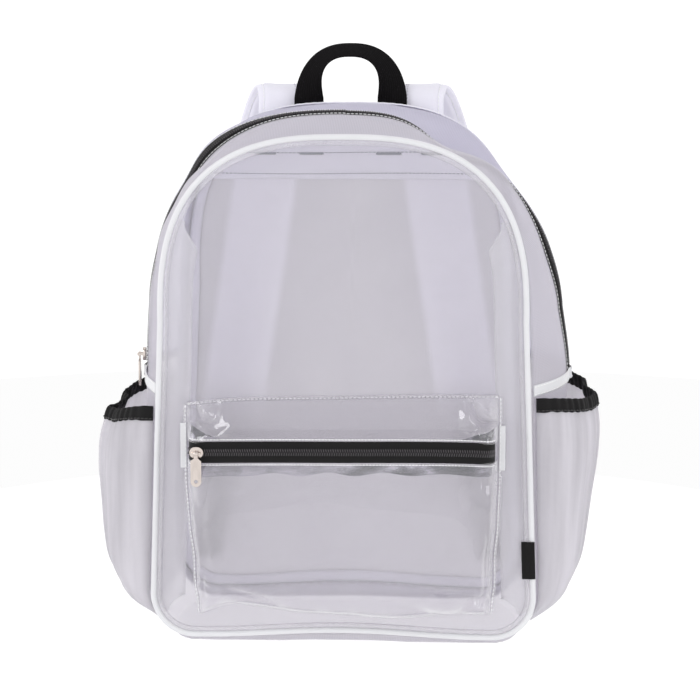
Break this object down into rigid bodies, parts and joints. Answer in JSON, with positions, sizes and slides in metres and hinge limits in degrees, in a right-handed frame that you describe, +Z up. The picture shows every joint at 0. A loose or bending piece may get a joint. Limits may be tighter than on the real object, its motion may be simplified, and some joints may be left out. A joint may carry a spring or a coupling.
{
  "type": "clear stadium backpack",
  "caption": "Clear film backpack with white piping, black zips, a zipped front pocket, sheer side pockets, padded shoulder straps and a webbing grab handle.",
  "frame": {"origin": "on the surface that the bag stands on, under the middle of its body", "axes": "+Z up; -Y is the front; +X is to the right of someone facing the front"},
  "size_m": [0.4144, 0.2401, 0.4848],
  "materials": {
    "clear_film": "clear soft film, glossy",
    "sheer_mesh": "sheer fine-woven mesh",
    "white_vinyl": "satin vinyl",
    "white_cloth": "matt woven polyester",
    "black_webbing": "ribbed webbing",
    "black_cloth": "matt woven tape",
    "black_zip": "woven tape and nylon coil",
    "black_plastic": "moulded, satin",
    "nickel": "polished nickel plate"
  },
  "bodies": {
    "bag": {"front_panel": "clear_film", "gusset_front": "clear_film", "gusset_back": "clear_film", "gusset_bottom": "clear_film", "front_pocket_top": "clear_film", "front_pocket_face": "clear_film", "back_panel": "sheer_mesh", "side_pocket_left": "sheer_mesh", "side_pocket_right": "sheer_mesh", "front_piping": "white_vinyl", "seam_band_left": "white_vinyl", "seam_band_right": "white_vinyl", "pocket_end_tab_left": "white_vinyl", "pocket_end_tab_right": "white_vinyl", "back_binding": "white_cloth", "yoke": "white_cloth", "shoulder_strap_left": "white_cloth", "shoulder_strap_right": "white_cloth", "grab_handle": "black_webbing", "strap_webbing_left": "black_webbing", "strap_webbing_right": "black_webbing", "pocket_binding_left": "black_cloth", "pocket_binding_right": "black_cloth", "side_label": "black_cloth", "main_zipper": "black_zip", "pocket_zipper": "black_zip", "strap_buckle_left": "black_plastic", "strap_buckle_right": "black_plastic", "pocket_slider": "nickel", "main_slider": "nickel"},
    "pocket_puller": {"pocket_puller": "nickel"},
    "main_puller": {"main_puller": "nickel"}
  },
  "joints": [
    {"name": "pocket_pull", "type": "hinge", "parent": "bag", "child": "pocket_puller", "pos_m": [-0.115, -0.10595, 0.168], "axis": [-1, 0, 0], "range_deg": [0, 170]},
    {"name": "main_pull", "type": "hinge", "parent": "bag", "child": "main_puller", "pos_m": [-0.17249, -0.00642, 0.23059], "axis": [0, 1, 0], "range_deg": [0, 165]}
  ]
}
